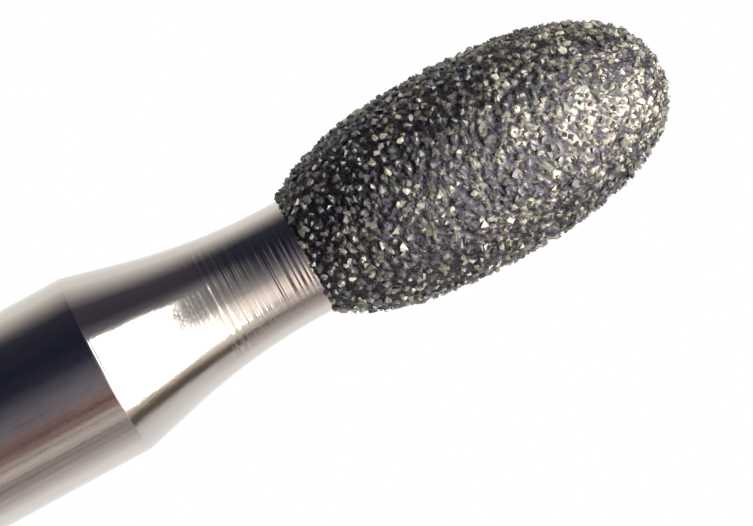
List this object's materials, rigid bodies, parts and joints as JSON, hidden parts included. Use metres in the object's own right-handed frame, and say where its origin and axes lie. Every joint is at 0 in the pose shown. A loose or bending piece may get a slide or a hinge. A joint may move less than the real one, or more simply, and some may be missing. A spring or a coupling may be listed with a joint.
{
  "type": "dental bur",
  "caption": "Friction-grip dental bur: a cylindrical steel shank, a taper that sweeps into a slim neck, and an egg-shaped head coated in diamond grit.",
  "frame": {"origin": "centre of the flat tail face, at the shank's end", "axes": "+Z along the axis that the bur turns about, from the tail to the tip of the head. X and Y are free, because the bur is round."},
  "size_m": [0.0018, 0.0018, 0.019],
  "materials": {
    "steel": "stainless steel, ground bright along the shank, with fine turning marks round the neck",
    "diamond_grit": "medium diamond grit held in plated nickel: rough, dark grey, sparkling"
  },
  "bodies": {
    "root": {"steel_blank": "steel", "diamond_coat": "diamond_grit"}
  },
  "joints": []
}
